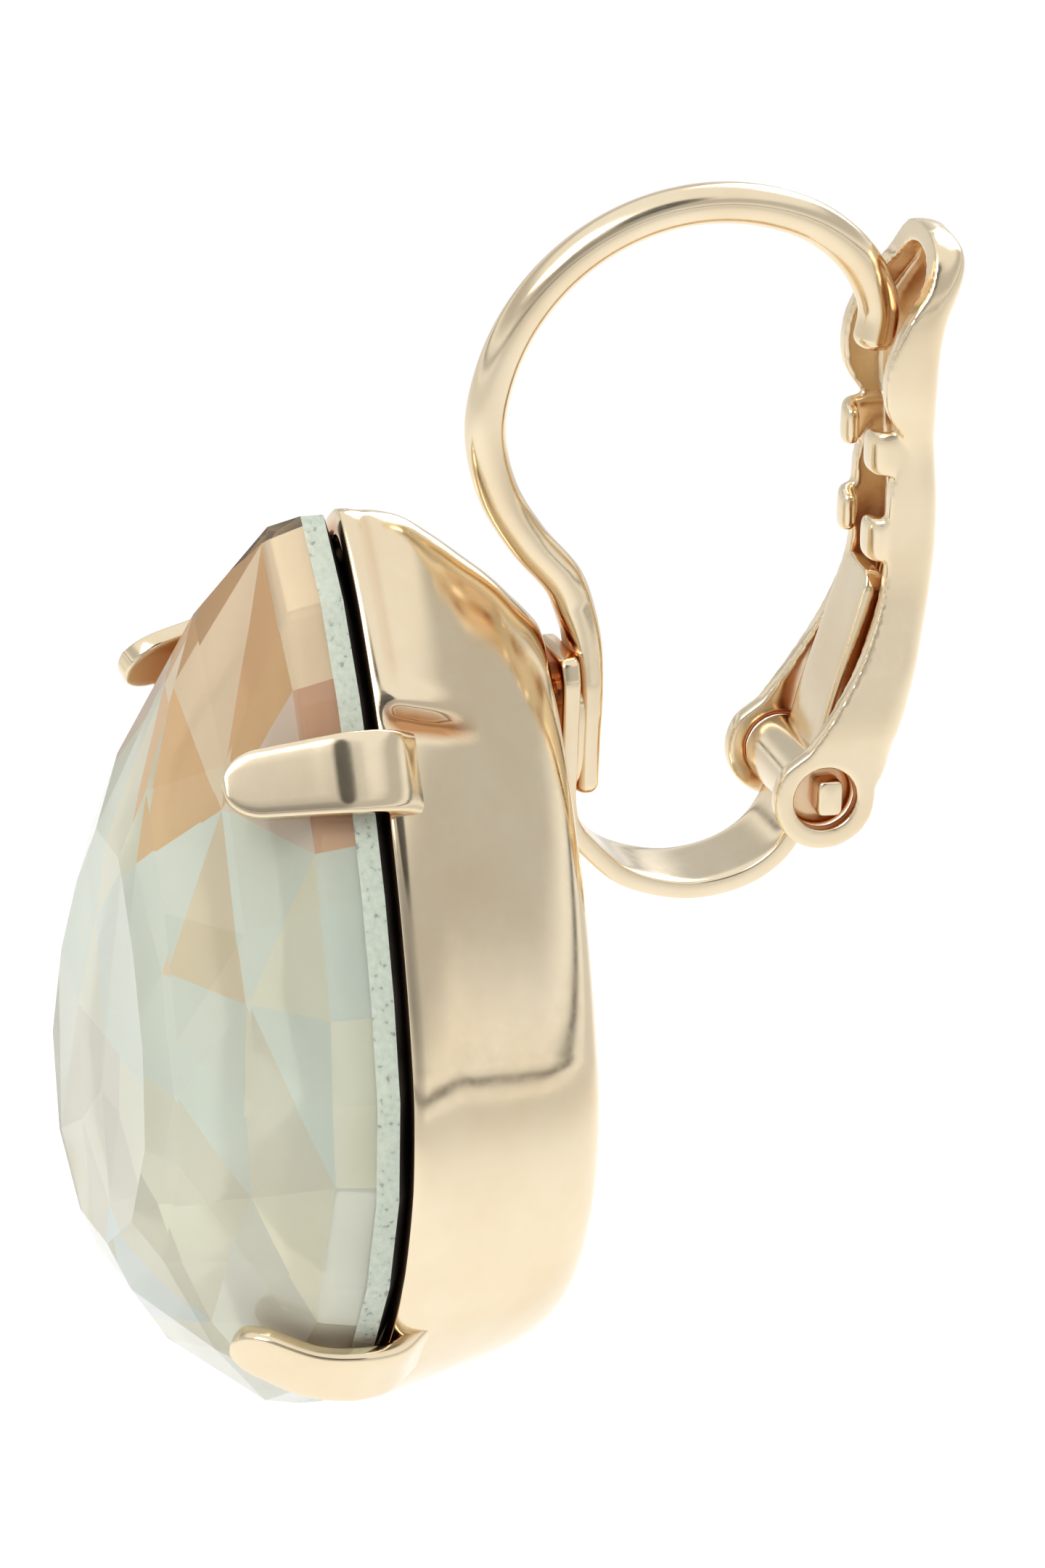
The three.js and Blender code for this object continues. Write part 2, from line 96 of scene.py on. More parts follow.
HINGE_Y = 9.38
HINGE_Z = 5.25
HINGE_HOLE_RADIUS = 0.62
HINGE_CLEARANCE = 0.125
KNUCKLE_RADIUS = 1.12 * HINGE_HOLE_RADIUS
PIN_WIDTH = 0.5
PIN_CORNER = (HINGE_HOLE_RADIUS - HINGE_CLEARANCE) * math.sqrt(0.5)
EAR_RADIUS = 1.0
EAR_WIDTH = 3.4
LEVER_WALL = 0.35
LEVER_LENGTH = 10.85
LEVER_WAIST = 0.75
NIB_FEET = (0.412, 0.572)
NIB_HEIGHT = 0.95
WEB_FOOT = 0.8
SPRING_REACH = NIB_FEET[0] * LEVER_LENGTH - 0.33
SPRING_WAIST = LEVER_WAIST * EAR_WIDTH - 2 * (LEVER_WALL + HINGE_CLEARANCE)
PAD_LENGTH = 3.25

SHOULDER = math.radians(18.5)


def place(points):
    """Millimetres in the setting's frame to metres in the row frame."""
    return (np.asarray(points, float) - ROW_ORIGIN) * MM


def new_object(name, points, faces, smooth=True):
    mesh = bpy.data.meshes.new(name)
    mesh.from_pydata([tuple(p) for p in place(points)], [], faces)
    mesh.validate()
    bm = bmesh.new()
    bm.from_mesh(mesh)
    bmesh.ops.recalc_face_normals(bm, faces=bm.faces)
    bm.to_mesh(mesh)
    bm.free()
    mesh.polygons.foreach_set("use_smooth", [smooth] * len(mesh.polygons))
    made = bpy.data.objects.new(name, mesh)
    bpy.context.scene.collection.objects.link(made)
    return made


def loft(rings):
    """Points and faces of a closed skin over rings of equally many points."""
    count = len(rings[0])
    points = np.vstack([*rings, np.mean(rings[0], 0), np.mean(rings[-1], 0)])
    faces = []
    for r in range(len(rings) - 1):
        for i in range(count):
            j = (i + 1) % count
            faces.append((r * count + i, r * count + j, (r + 1) * count + j, (r + 1) * count + i))
    first = len(rings) * count
    top = (len(rings) - 1) * count
    for i in range(count):
        j = (i + 1) % count
        faces.append((first, j, i))
        faces.append((first + 1, top + i, top + j))
    return points, faces


def along(rows):
    """A size that changes along a route, from rows of (share of the route, value)."""
    shares, values = zip(*rows)
    return lambda share: float(np.interp(share, shares, values))


def spline(points, samples):
    """Evenly spaced points on a centripetal Catmull-Rom curve, and its directions there."""
    p = np.asarray(points, float)
    p = np.vstack([2 * p[0] - p[1], p, 2 * p[-1] - p[-2]])
    line = []
    for i in range(1, len(p) - 2):
        t = [0.0]
        for a, b in zip(p[i - 1 : i + 2], p[i : i + 3]):
            t.append(t[-1] + max(np.linalg.norm(b - a), 1e-6) ** 0.5)
        for s in np.linspace(t[1], t[2], 40, endpoint=False):
            a1, a2, a3 = (
                ((t[k + 1] - s) * p[i - 1 + k] + (s - t[k]) * p[i + k]) / (t[k + 1] - t[k])
                for k in range(3)
            )
            b1 = ((t[2] - s) * a1 + (s - t[0]) * a2) / (t[2] - t[0])
            b2 = ((t[3] - s) * a2 + (s - t[1]) * a3) / (t[3] - t[1])
            line.append(((t[2] - s) * b1 + (s - t[1]) * b2) / (t[2] - t[1]))
    line.append(p[-2])
    line = np.array(line)
    run = np.r_[0, np.cumsum(np.linalg.norm(np.diff(line, axis=0), axis=1))]
    at = np.linspace(0, run[-1], samples)
    even = np.column_stack([np.interp(at, run, line[:, k]) for k in range(3)])
    heading = np.gradient(even, axis=0)
    return even, heading / np.linalg.norm(heading, axis=1)[:, None]


def smooth_rows(rows, steps):
    """The rows of a table, filled in along a smooth curve."""
    table = np.asarray(rows, float)
    if table.shape[1] == 2:
        table = np.column_stack([table, np.zeros(len(table))])
    even, _ = spline(table, steps)
    return even[:, : len(rows[0])]


def bar(points, across, size, steps, sides, end_round=0.0):
    """A bar whose section, (width, thickness, squareness), changes along a smooth route.
    Its ends are rounded over the last `end_round` millimetres."""
    even, heading = spline(points, steps + 1)
    stations = np.linspace(0, 1, steps + 1)
    across = np.asarray(across, float)
    length = np.sum(np.linalg.norm(np.diff(even, axis=0), axis=1))
    shares = list(stations)
    if end_round:
        r = end_round / length
        ends = [r * (1 - math.cos(a)) for a in np.linspace(0.12, math.pi / 2, 8)]
        middle = [s for s in shares if r < s < 1 - r]
        shares = ends + middle + [1 - e for e in reversed(ends)]
    angles = 2 * math.pi * (np.arange(sides) + 0.5) / sides
    rings = []
    for share in shares:
        at, ahead = (
            np.array([np.interp(share, stations, line[:, k]) for k in range(3)])
            for line in (even, heading)
        )
        normal = np.cross(across, ahead / np.linalg.norm(ahead))
        width, thickness, square = size(share)
        if end_round:
            depth = min(share, 1 - share) * length / end_round
            lost = end_round * (1 - math.sqrt(max(0, 1 - (1 - min(depth, 1)) ** 2)))
            width = max(width - 2 * lost, 0.05)
            thickness = max(thickness - 2 * lost, 0.05)
        c = np.sign(np.cos(angles)) * np.abs(np.cos(angles)) ** (2 / square)
        s = np.sign(np.sin(angles)) * np.abs(np.sin(angles)) ** (2 / square)
        rings.append(at + np.outer(width / 2 * c, across) + np.outer(thickness / 2 * s, normal))
    return loft(rings)


def flank(radius, tip):
    """The arc of a pear's side: its radius, its centre and the angle where it meets the tip."""
    sin = math.sin(SHOULDER)
    arc = (tip**2 + radius**2 - 2 * tip * radius * sin) / (2 * radius - 2 * tip * sin)
    x = (radius - arc) * math.cos(SHOULDER)
    z = (radius - arc) * sin
    return arc, x, z, math.atan2(tip - z, -x)


def pear(radius, tip, round_steps=60, flank_steps=40):
    """A pear outline in X and Z, from the bottom up its right side and down its left."""
    arc, cx, cz, end = flank(radius, tip)
    low = np.linspace(-math.pi / 2, SHOULDER, round_steps, endpoint=False)
    high = SHOULDER + (end - SHOULDER) * (
        1 - (1 - np.linspace(0, 1, flank_steps, endpoint=False)) ** 1.6
    )
    x = np.r_[radius * np.cos(low), cx + arc * np.cos(high)]
    z = np.r_[radius * np.sin(low), cz + arc * np.sin(high)]
    blunt = np.where(np.arange(len(x)) >= round_steps, np.hypot(x, TIP_ROUNDING) - x, 0)
    right = np.column_stack([x, z - blunt])
    left = right[1:][::-1] * [-1, 1]
    return np.vstack([right, [0, tip - TIP_ROUNDING], left])


# Materials


def node_maker(owner):
    """Empties a node tree and returns what makes its nodes and its links."""
    tree = owner.node_tree
    tree.nodes.clear()

    def node(kind, **settings):
        made = tree.nodes.new(kind)
        for key, value in settings.items():
            if key in made.inputs:
                made.inputs[key].default_value = value
            else:
                setattr(made, key, value)
        return made

    return node, tree.links.new


def new_material(name):
    material = bpy.data.materials.new(name)
    material.use_nodes = True
    return material, *node_maker(material)


def ramp(node, stops, source, link):
    made = node("ShaderNodeValToRGB")
    elements = made.color_ramp.elements
    while len(elements) < len(stops):
        elements.new(0.5)
    for element, (position, colour) in zip(elements, stops):
        element.position = position
        element.color = (*colour, 1)
    link(source, made.inputs[0])
    return made


GOLD = (0.86, 0.71, 0.49)
GOLD_PALE = (0.91, 0.78, 0.57)
# The deep orange-brown of painted shade, and how far the crevices that get it reach.
GOLD_PAINTED_SHADE = (0.52, 0.22, 0.07)
CREVICE_REACH = 1.1 * MM


def gold_material(name, roughness, wear):
    """Polished pale gold plate with painted shade: a deep orange-brown in its crevices and where
    the mesh's painted shade marks say so; faintly uneven, with fine handling marks."""
    material, node, link = new_material(name)
    coords = node("ShaderNodeTexCoord")
    mottle = node("ShaderNodeTexNoise", Scale=420.0, Detail=4.0, Roughness=0.6)
    link(coords.outputs["Object"], mottle.inputs["Vector"])
    plate = ramp(node, [(0.35, GOLD), (0.65, GOLD_PALE)], mottle.outputs["Fac"], link)
    # Painted shade: ambient occlusion finds the crevices, and these and the mesh's own painted
    # shade marks mix the plate towards the deep orange-brown.
    hollow = node("ShaderNodeAmbientOcclusion", samples=8)
    hollow.inputs["Distance"].default_value = CREVICE_REACH
    crevice = ramp(node, [(0.15, (1, 1, 1)), (0.68, (0, 0, 0))], hollow.outputs["AO"], link)
    painted_shade = node("ShaderNodeAttribute", attribute_name="painted_shade")
    depth = node("ShaderNodeMath", operation="MAXIMUM")
    link(crevice.outputs["Color"], depth.inputs[0])
    link(painted_shade.outputs["Fac"], depth.inputs[1])
    shaded_plate = node("ShaderNodeMix", data_type="RGBA", blend_type="MIX")
    link(depth.outputs["Value"], shaded_plate.inputs["Factor"])
    link(plate.outputs["Color"], shaded_plate.inputs[6])
    shaded_plate.inputs[7].default_value = (*GOLD_PAINTED_SHADE, 1)
    brush = node("ShaderNodeTexNoise", Scale=2600.0, Detail=3.0, Roughness=0.7)
    link(coords.outputs["Object"], brush.inputs["Vector"])
    sheen = node("ShaderNodeMapRange")
    sheen.inputs["From Min"].default_value = 0.3
    sheen.inputs["From Max"].default_value = 0.8
    sheen.inputs["To Min"].default_value = roughness
    sheen.inputs["To Max"].default_value = roughness + wear
    link(brush.outputs["Fac"], sheen.inputs["Value"])
    ripple = node("ShaderNodeTexNoise", Scale=330.0, Detail=2.0)
    link(coords.outputs["Object"], ripple.inputs["Vector"])
    bump = node("ShaderNodeBump")
    bump.inputs["Strength"].default_value = 0.16
    bump.inputs["Distance"].default_value = 0.00006
    link(ripple.outputs["Fac"], bump.inputs["Height"])
    shader = node("ShaderNodeBsdfPrincipled", Metallic=1.0)
    link(shaded_plate.outputs[2], shader.inputs["Base Color"])
    link(sheen.outputs["Result"], shader.inputs["Roughness"])
    link(bump.outputs["Normal"], shader.inputs["Normal"])
    out = node("ShaderNodeOutputMaterial")
    link(shader.outputs[0], out.inputs[0])
    return material


def crystal_material():
    """Clear crown: glass that bends what lies behind it, each facet with a faint tint."""
    material, node, link = new_material("crystal_crown")
    coords = node("ShaderNodeTexCoord")
    tone = node("ShaderNodeTexNoise", Scale=160.0, Detail=2.0)
    link(coords.outputs["Object"], tone.inputs["Vector"])
    tint = ramp(
        node,
        [(0.4, (0.97, 0.995, 0.95)), (0.62, (1.0, 0.985, 0.93))],
        tone.outputs["Fac"],
        link,
    )
    facet = node("ShaderNodeAttribute", attribute_name="facet_tint")
    mixed = node("ShaderNodeMix", data_type="RGBA", blend_type="MULTIPLY")
    mixed.inputs["Factor"].default_value = 0.2
    link(tint.outputs["Color"], mixed.inputs[6])
    link(facet.outputs["Color"], mixed.inputs[7])
    shader = node("ShaderNodeBsdfPrincipled", Roughness=0.0, IOR=1.42)
    shader.inputs["Transmission Weight"].default_value = 0.93
    shader.inputs["Coat Weight"].default_value = 0.35
    shader.inputs["Coat Roughness"].default_value = 0.01
    link(mixed.outputs[2], shader.inputs["Base Color"])
    out = node("ShaderNodeOutputMaterial")
    link(shader.outputs[0], out.inputs[0])
    return material


def girdle_material():
    """The frosted band round the stone's widest line."""
    material, node, link = new_material("crystal_girdle")
    coords = node("ShaderNodeTexCoord")
    grain = node("ShaderNodeTexNoise", Scale=7500.0, Detail=3.0)
    link(coords.outputs["Object"], grain.inputs["Vector"])
    tint = ramp(
        node,
        [(0.3, (0.36, 0.38, 0.33)), (0.38, (0.62, 0.69, 0.58)), (0.7, (0.74, 0.8, 0.68))],
        grain.outputs["Fac"],
        link,
    )
    bump = node("ShaderNodeBump")
    bump.inputs["Strength"].default_value = 0.6
    bump.inputs["Distance"].default_value = 0.00004
    link(grain.outputs["Fac"], bump.inputs["Height"])
    shader = node("ShaderNodeBsdfPrincipled", Roughness=0.3, IOR=1.5)
    shader.inputs["Transmission Weight"].default_value = 0.15
    link(tint.outputs["Color"], shader.inputs["Base Color"])
    link(bump.outputs["Normal"], shader.inputs["Normal"])
    out = node("ShaderNodeOutputMaterial")
    link(shader.outputs[0], out.inputs[0])
    return material


def lacquer_material():
    """The dark lacquer that seals the back of the crystal."""
    material, node, link = new_material("crystal_lacquer")
    coords = node("ShaderNodeTexCoord")
    grain = node("ShaderNodeTexNoise", Scale=900.0, Detail=3.0)
    link(coords.outputs["Object"], grain.inputs["Vector"])
    tint = ramp(
        node,
        [(0.35, (0.012, 0.011, 0.01)), (0.7, (0.035, 0.03, 0.027))],
        grain.outputs["Fac"],
        link,
    )
    shader = node("ShaderNodeBsdfPrincipled", Roughness=0.5)
    link(tint.outputs["Color"], shader.inputs["Base Color"])
    out = node("ShaderNodeOutputMaterial")
    link(shader.outputs[0], out.inputs[0])
    return material


def foil_material():
    """The mirror coat at the back of the crystal, one tint to a facet."""
    material, node, link = new_material("crystal_foil")
    tint = node("ShaderNodeAttribute", attribute_name="facet_tint")
    coords = node("ShaderNodeTexCoord")
    cloud = node("ShaderNodeTexNoise", Scale=260.0, Detail=2.0)
    link(coords.outputs["Object"], cloud.inputs["Vector"])
    veil = ramp(
        node,
        [(0.35, (0.95, 0.95, 0.95)), (0.65, (1, 1, 1))],
        cloud.outputs["Fac"],
        link,
    )
    mixed = node("ShaderNodeMix", data_type="RGBA", blend_type="MULTIPLY")
    mixed.inputs["Factor"].default_value = 1.0
    link(tint.outputs["Color"], mixed.inputs[6])
    link(veil.outputs["Color"], mixed.inputs[7])
    shader = node("ShaderNodeBsdfPrincipled", Metallic=0.12, Roughness=0.18)
    link(mixed.outputs[2], shader.inputs["Base Color"])
    out = node("ShaderNodeOutputMaterial")
    link(shader.outputs[0], out.inputs[0])
    return material


gold_cup = gold_material("gold_cup", 0.1, 0.07)
gold_wire = gold_material("gold_wire", 0.13, 0.09)
gold_lever = gold_material("gold_lever", 0.16, 0.1)
crown_glass = crystal_material()
girdle_frost = girdle_material()
lacquer = lacquer_material()
foil = foil_material()


def finish_piece(piece, materials, body, node):
    for material in materials:
        piece.data.materials.append(material)
    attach(piece, body)
    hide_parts(node)


METAL_NODE = "setting_and_ear_wire"


# Cup

# The fold in the wall behind each upper prong: its height at the rim, how much lower it is at
# the back, the way that it is pressed, out and up, and how near the middle it stops.
CREASE_Z = 8.12
CREASE_FALL = 1.1
CREASE_NORMAL = (0.84, 0.54)
CREASE_STOP = 0.5
VALLEY_DEPTH = 0.14
VALLEY_WIDTH = 0.16
RIDGE_HEIGHT = 0.07
RIDGE_WIDTH = 0.2
RIDGE_ABOVE = 0.34
# The tuck under the lip: its depth, and its middle and width in shares of the cup's depth.
TUCK_DEPTH = 0.04
TUCK_MIDDLE = 0.1
TUCK_WIDTH = 0.035

BACK_MIDDLE_Z = 1.2
BACK_SHARES = (0.04, 0.3, 0.55, 0.75, 0.88, 0.95)
INNER_BACK_SHARES = (0.8, 0.4, 0.05)
WALL_RINGS = 46
INNER_RINGS = 14
LIP_RINGS = 7
LIP_FLATNESS = 0.25


def cup():
    """The pressed cup as one sheet: outside of the back, side, rolled rim, inside, inner back."""
    depth = [0, 0.05, 0.15, 0.3, 0.45, 0.6, 0.75, 0.86, 0.94, 0.985, 1]
    inset = [0.04, 0.01, 0.04, 0.15, 0.26, 0.37, 0.49, 0.62, 0.77, 0.92, 1.05]
    drop = [0, 0, 0.02, 0.08, 0.23, 0.41, 0.6, 0.77, 0.9, 0.99, 1.08]
    depth, inset, drop = smooth_rows(list(zip(depth, inset, drop)), 160).T

    def section(share, wall, y):
        radius = CUP_RADIUS - wall - CUP_TAPER * float(np.interp(share, depth, inset))
        tip = CUP_TIP - 1.5 * wall - CUP_TIP_DROP * float(np.interp(share, depth, drop))
        outline = pear(radius, tip, 80, 130)
        return np.column_stack([outline[:, 0], np.full(len(outline), y), outline[:, 1]])

    def crease(ring, share):
        """Presses in the fold behind each upper prong and the tuck under the lip near the tip,
        and paints shade into them: how deep they are is kept as a painted shade mark for each
        ring."""
        fade = np.interp(share, [0.02, 0.1, 0.28, 0.52], [0, 1, 0.8, 0])
        above = ring[:, 2] - (CREASE_Z - CREASE_FALL * share)
        valley = np.exp(-((above / VALLEY_WIDTH) ** 2))
        ridge = np.exp(-(((above - RIDGE_ABOVE) / RIDGE_WIDTH) ** 2))
        away = np.where(np.abs(ring[:, 0]) > CREASE_STOP, 1, 0)
        tuck = np.exp(-(((share - TUCK_MIDDLE) / TUCK_WIDTH) ** 2)) * np.clip(above, 0, 1)
        lift = fade * away * (RIDGE_HEIGHT * ridge - VALLEY_DEPTH * valley) - TUCK_DEPTH * tuck
        out, up = CREASE_NORMAL
        normal = np.column_stack([np.sign(ring[:, 0]) * out, 0 * lift, 0 * lift + up])
        # Painted shade: strong along the fold's valley, faint in the tuck under the lip.
        painted_shades.append(np.clip(2 * fade * away * valley + 0.25 * tuck**3, 0, 0.9))
        return ring + lift[:, None] * normal

    rings = []
    painted_shades = []
    back = section(1, 0, CUP_DEPTH)
    middle = np.array([0, CUP_DEPTH, BACK_MIDDLE_Z])
    for share in BACK_SHARES:
        rings.append(middle + (back - middle) * share)
    for share in 1 - np.linspace(0, 1, WALL_RINGS) ** 1.25:
        rings.append(crease(section(share, 0, CUP_DEPTH * share), share))
    roll = CUP_WALL / 2
    for angle in np.linspace(0, math.pi, LIP_RINGS + 2)[1:-1]:
        wall = roll - roll * math.cos(angle)
        rings.append(section(0, wall, -roll * LIP_FLATNESS * math.sin(angle)))
    inner_depth = CUP_DEPTH - CUP_WALL
    for share in np.linspace(0, 1, INNER_RINGS):
        rings.append(section(share, CUP_WALL, 0.01 + inner_depth * share))
    inner_back = rings[-1]
    middle = np.array([0, inner_depth, BACK_MIDDLE_Z])
    for share in INNER_BACK_SHARES:
        rings.append(middle + (inner_back - middle) * share)
    points, faces = loft(rings)
    piece = new_object("cup", points, faces)
    values = np.zeros(len(points))
    count = len(rings[0])
    first = len(BACK_SHARES) * count
    values[first : first + len(painted_shades) * count] = np.concatenate(painted_shades)
    # The painted shade marks go on the cup as a point attribute, which the gold material reads.
    painted_shade = piece.data.attributes.new("painted_shade", "FLOAT", "POINT")
    painted_shade.data.foreach_set("value", values)
    finish_piece(piece, [gold_cup], "setting", METAL_NODE)


# Prongs

# A prong's route from its foot on the rim: (outwards, forwards), in shares of PRONG_REACH.
UPPER_ROUTE = [
    (-0.22, -0.36),
    (-0.07, -0.17),
    (0.045, -0.03),
    (0.08, 0.06),
    (0.087, 0.22),
    (0.083, 0.3),
    (0.063, 0.38),
    (0.04, 0.46),
    (-0.035, 0.73),
    (-0.11, 1),
]
LOWER_ROUTE = [
    (-0.2, -0.34),
    (-0.06, -0.17),
    (0.045, -0.04),
    (0.08, 0.08),
    (0.085, 0.25),
    (0.045, 0.47),
    (-0.09, 0.72),
    (-0.21, 0.92),
]


def prongs():
    arc, cx, cz, _ = flank(CUP_RADIUS, CUP_TIP)
    upper = UPPER_PRONG_ANGLE
    lower = LOWER_PRONG_ANGLE
    feet = {
        "upper": (cx + arc * math.cos(upper), cz + arc * math.sin(upper), upper, UPPER_ROUTE),
        "lower": (CUP_RADIUS * math.cos(lower), CUP_RADIUS * math.sin(lower), lower, LOWER_ROUTE),
    }
    width = along([(0, PRONG_WIDTH), (0.45, PRONG_WIDTH), (1, PRONG_TIP_WIDTH)])
    for level, (x, z, lean, route) in feet.items():
        for side, mirror in (("right", 1), ("left", -1)):
            normal = np.array([mirror * math.cos(lean), 0, math.sin(lean)])
            across = np.array([-math.sin(lean), 0, mirror * math.cos(lean)])
            foot = np.array([mirror * x, 0, z])
            points = [
                foot + normal * out * PRONG_REACH + [0, -ahead * PRONG_REACH, 0]
                for out, ahead in route
            ]
            shape = bar(
                points,
                across,
                lambda share: (prong_width(width(share), share), PRONG_THICKNESS, 6),
                steps=60,
                sides=28,
                end_round=0.1,
            )
            piece = new_object(f"prong_{level}_{side}", *shape)
            finish_piece(piece, [gold_cup], "setting", METAL_NODE)


def prong_width(width, share):
    """Rounds the prong's free end in the plane of the tab."""
    left = (1 - share) * PRONG_REACH * PRONG_STRETCH / (width / 2)
    return width * math.sqrt(max(0.04, 1 - (1 - min(left, 1)) ** 2))


# Ear wire, strip and hinge pins

ACROSS = (1, 0, 0)


def in_plane(rows):
    return [(0, y, z) for y, z in rows]


def hook_point(angle, radius=HOOK_RADIUS):
    a = math.radians(angle)
    return HOOK_Y + radius * math.cos(a), HOOK_Z + radius * math.sin(a)


def ear_wire():
    rows = [
        (PAD_Y, 5.3),
        (PAD_Y, 6.4),
        (PAD_Y + 0.02, 7.4),
        (PAD_Y - 0.03, 8.2),
        (PAD_Y - 0.2, 8.85),
        hook_point(229, HOOK_RADIUS - 0.25),
        hook_point(213, HOOK_RADIUS - 0.26),
        hook_point(197, HOOK_RADIUS - 0.12),
        *[hook_point(angle) for angle in range(180, 59, -15)],
        hook_point(45, HOOK_RADIUS - 0.1),
        hook_point(31, HOOK_RADIUS - 0.35),
        hook_point(20, HOOK_RADIUS - 0.8),
    ]
    shares = [0, 0.08, 0.11, 0.15, 0.19, 0.22, 1]
    flat = [1, 1, 0.93, 0.5, 0.08, 0, 0]
    width = along([(at, WIRE + f * (PAD_WIDTH - WIRE)) for at, f in zip(shares, flat)])
    thick = along([(at, WIRE + f * (PAD_THICKNESS - WIRE)) for at, f in zip(shares, flat)])
    square = along([(at, 2 + 0.9 * f) for at, f in zip(shares, flat)])
    shape = bar(
        in_plane(rows),
        ACROSS,
        lambda share: (width(share), thick(share), square(share)),
        steps=260,
        sides=32,
        end_round=0.22,
    )
    piece = new_object("ear_wire", *shape)
    finish_piece(piece, [gold_wire], "setting", METAL_NODE)


def strip():
    """The flat strip from the cup round to the leaf spring, and what the lever turns on: two
    square pins and, between the lever's sides, a barrel that fills the look of its holes."""
    on_cup = [(0, -0.138), (0, -0.723), (0, -1.015), (0.037, -1.169)]
    bow = [
        (-0.871, -0.229),
        (-0.745, -0.327),
        (-0.49, -0.392),
        (-0.265, -0.353),
        (-0.129, -0.261),
        (-0.045, -0.122),
        (0.004, 0),
    ]
    spring = [(0.045, 0.15), (0.095, 0.36), (0.175, 0.63), (0.28, 1)]
    span = HINGE_Y - STRIP_Y
    rows = [(STRIP_Y + out * PAD_LENGTH, BACK_TIP + up * PAD_LENGTH) for out, up in on_cup]
    rows += [(HINGE_Y + out * span, HINGE_Z + up * span) for out, up in bow]
    rows += [(HINGE_Y + out * SPRING_REACH, HINGE_Z + up * SPRING_REACH) for out, up in spring]
    width = along(
        [
            (0, 0.8 * STRIP_WIDTH),
            (0.03, STRIP_WIDTH),
            (0.7, STRIP_WIDTH),
            (0.85, 1.1 * SPRING_WAIST),
            (0.98, SPRING_WAIST),
            (1, 0.75 * SPRING_WAIST),
        ]
    )
    shape = bar(
        in_plane(rows),
        ACROSS,
        lambda share: (width(share), STRIP_THICKNESS, 7),
        steps=180,
        sides=32,
        end_round=0.12,
    )
    piece = new_object("strip", *shape)
    finish_piece(piece, [gold_wire], "setting", METAL_NODE)
    shape = bar(
        [(x * (EAR_WIDTH / 2 - LEVER_WALL - 0.06), HINGE_Y, HINGE_Z) for x in (-1, 0, 1)],
        (0, 1, 0),
        lambda share: (2 * KNUCKLE_RADIUS, 2 * KNUCKLE_RADIUS, 2),
        steps=12,
        sides=40,
        end_round=0.1,
    )
    piece = new_object("hinge_knuckle", *shape)
    finish_piece(piece, [gold_wire], "setting", METAL_NODE)
    y = HINGE_Y + PIN_CORNER - PIN_WIDTH / 2
    for side, mirror in (("right", 1), ("left", -1)):
        start = mirror * 0.35 * STRIP_WIDTH
        end = mirror * EAR_WIDTH / 2
        shape = bar(
            [(start, y, HINGE_Z), ((start + end) / 2, y, HINGE_Z), (end, y, HINGE_Z)],
            (0, 1, 0),
            lambda share: (PIN_WIDTH, 2 * PIN_CORNER, 5),
            steps=10,
            sides=28,
            end_round=0.08,
        )
        pin = new_object(f"hinge_pin_{side}", *shape)
        finish_piece(pin, [gold_wire], "setting", METAL_NODE)


def solder():
    """The fillet that holds strip and pad to the back of the cup."""
    low, high = BACK_TIP - PAD_LENGTH, BACK_TIP - 0.3 * PAD_LENGTH
    middle = (low + high) / 2
    shape = bar(
        [(0, y, middle) for y in (CUP_DEPTH - CUP_WALL / 2, STRIP_Y, PAD_Y)],
        ACROSS,
        lambda share: (
            0.7 * STRIP_WIDTH * (1.25 - 0.25 * share),
            (high - low) * (1.1 - 0.1 * share),
            3.5,
        ),
        steps=12,
        sides=32,
    )
    piece = new_object("solder", *shape)
    finish_piece(piece, [gold_cup], "setting", METAL_NODE)


# Stone

# Rings of points: (scale of the outline, share of the height, points, turn in points).
CROWN_TIERS = [
    (1, 0, 24, 0),
    (0.985, 0.18, 24, 0),
    (0.84, 0.57, 12, 0),
    (0.63, 0.88, 12, 0.5),
    (0.49, 1, 12, 0.5),
]
PAVILION_TIERS = [(1, 0, 24, 0), (0.62, 0.62, 12, 0.5), (0.2, 1, 6, 0)]


def even_points(outline, count, turn):
    """Points spaced evenly round a closed outline, from its highest point."""
    start = int(np.argmax(outline[:, 1]))
    ring = np.roll(outline, -start, axis=0)
    ring = np.vstack([ring, ring[:1]])
    run = np.r_[0, np.cumsum(np.linalg.norm(np.diff(ring, axis=0), axis=1))]
    at = ((np.arange(count) + turn) / count) % 1 * run[-1]
    return np.column_stack([np.interp(at, run, ring[:, k]) for k in range(2)])


AMBER = (0.94, 0.6, 0.27)
COPPER = (0.84, 0.5, 0.3)
PEACH = (0.98, 0.82, 0.58)
SAND = (0.9, 0.86, 0.71)
MINT = (0.895, 0.96, 0.875)
ICE = (0.85, 0.94, 0.95)
PEARL = (0.95, 0.955, 0.86)
CREAM = (0.995, 0.97, 0.79)
ROSE = (0.98, 0.84, 0.74)

CORE_TIERS = [
    (0.99, -0.11, 14, 0),
    (0.955, 0.2, 14, 0),
    (0.72, 0.5, 9, 0.25),
    (0.4, 0.68, 8, 0),
    (0.12, 0.74, 4, 0.5),
]


# What a facet's tint is picked from, by the height that it lies above.
TINT_ZONES = [
    (7.2, [AMBER, COPPER, AMBER, PEACH]),
    (5.2, [SAND, CREAM, ROSE, PEACH, AMBER]),
    (0.6, [MINT, MINT, MINT, CREAM, PEARL, PEACH]),
    (-2.5, [SAND, SAND, CREAM, PEARL, CREAM]),
    (-math.inf, [CREAM, CREAM, SAND, ICE, PEARL]),
]
ZONE_BLUR = 0.8


def facet_tint(centre, rng):
    height = centre[2] + ZONE_BLUR * (rng.random() - 0.5)
    return rng.choice(next(tints for above, tints in TINT_ZONES if height > above))


